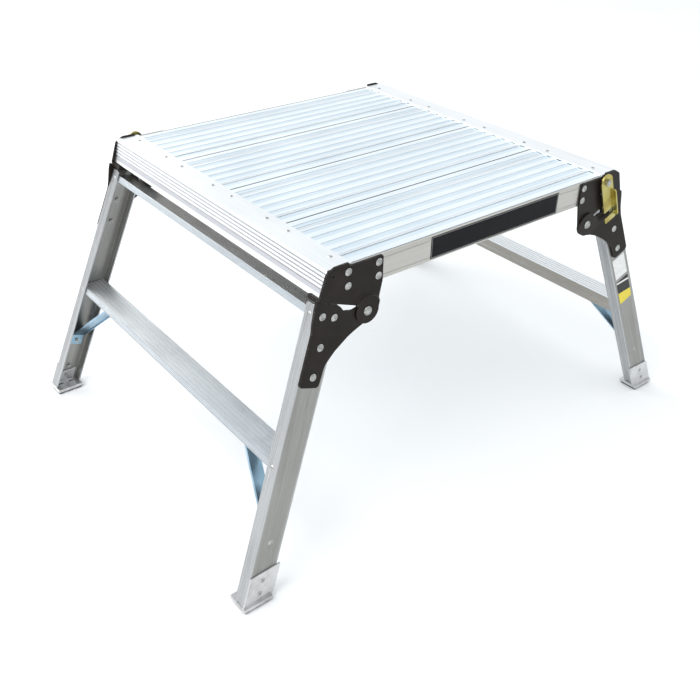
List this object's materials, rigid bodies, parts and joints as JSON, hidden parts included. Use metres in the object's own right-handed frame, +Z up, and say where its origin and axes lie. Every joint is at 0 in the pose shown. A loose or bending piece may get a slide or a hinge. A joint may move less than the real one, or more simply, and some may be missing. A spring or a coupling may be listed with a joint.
{
  "type": "work platform bench",
  "caption": "Folding aluminium work platform: ribbed plank deck on two splayed channel-leg frames with a tread each, black steel hinges, latches and rubber feet.",
  "frame": {"origin": "centre of the overall box at floor level", "axes": "+X along the planks towards the right leg frame, +Y from the near side rail to the far one, +Z up"},
  "size_m": [0.9534, 0.6978, 0.4755],
  "materials": {
    "bright_aluminium": "satin mill finish",
    "leg_aluminium": "satin mill finish, warm grey",
    "black_steel": "satin black coating",
    "zinc_steel": "bright zinc plate",
    "yellow_zinc": "yellow chromate zinc plate",
    "rubber": "matte",
    "label_black": "printed film",
    "label_white": "printed film",
    "label_yellow": "printed film"
  },
  "bodies": {
    "platform": {"plank_1": "bright_aluminium", "plank_2": "bright_aluminium", "plank_3": "bright_aluminium", "plank_4": "bright_aluminium", "end_rail_left": "bright_aluminium", "end_rail_right": "bright_aluminium", "side_rail_near": "leg_aluminium", "side_rail_far": "leg_aluminium", "hinge_plate_nl": "black_steel", "hinge_plate_nr": "black_steel", "hinge_plate_fl": "black_steel", "hinge_plate_fr": "black_steel", "deck_rivets": "zinc_steel", "hinge_rivets": "zinc_steel", "pivot_bolts": "zinc_steel", "pivot_washers": "zinc_steel", "pivot_nuts": "zinc_steel", "latch_bolts": "zinc_steel", "latch_bushes": "zinc_steel", "latch_nuts": "zinc_steel", "rail_label": "label_black"},
    "right_leg_frame": {"right_leg_near": "leg_aluminium", "right_leg_far": "leg_aluminium", "right_tread": "bright_aluminium", "right_bar": "leg_aluminium", "right_brace_near": "bright_aluminium", "right_brace_far": "bright_aluminium", "right_bracket_near": "black_steel", "right_bracket_far": "black_steel", "right_keeper": "zinc_steel", "right_foot_near": "zinc_steel", "right_foot_far": "zinc_steel", "right_pad_near": "rubber", "right_pad_far": "rubber", "right_rivets": "zinc_steel", "right_label_plain": "label_white", "right_label_yellow": "label_yellow"},
    "left_leg_frame": {"left_leg_near": "leg_aluminium", "left_leg_far": "leg_aluminium", "left_tread": "bright_aluminium", "left_bar": "leg_aluminium", "left_brace_near": "bright_aluminium", "left_brace_far": "bright_aluminium", "left_bracket_near": "black_steel", "left_bracket_far": "black_steel", "left_keeper": "zinc_steel", "left_foot_near": "zinc_steel", "left_foot_far": "zinc_steel", "left_pad_near": "rubber", "left_pad_far": "rubber", "left_rivets": "zinc_steel"},
    "right_latch": {"latch_right": "yellow_zinc"},
    "left_latch": {"latch_left": "yellow_zinc"}
  },
  "joints": [
    {"name": "right_leg_fold", "type": "hinge", "parent": "platform", "child": "right_leg_frame", "pos_m": [0.231, 0, 0.394], "axis": [0, 1, 0], "range_deg": [0, 98]},
    {"name": "left_leg_fold", "type": "hinge", "parent": "platform", "child": "left_leg_frame", "pos_m": [-0.231, 0, 0.394], "axis": [0, -1, 0], "range_deg": [0, 116]},
    {"name": "right_latch_swing", "type": "hinge", "parent": "platform", "child": "right_latch", "pos_m": [0.25756, -0.30965, 0.46224], "axis": [0, -1, 0], "range_deg": [0, 25]},
    {"name": "left_latch_swing", "type": "hinge", "parent": "platform", "child": "left_latch", "pos_m": [-0.25756, 0.30965, 0.46224], "axis": [0, 1, 0], "range_deg": [0, 25]}
  ]
}
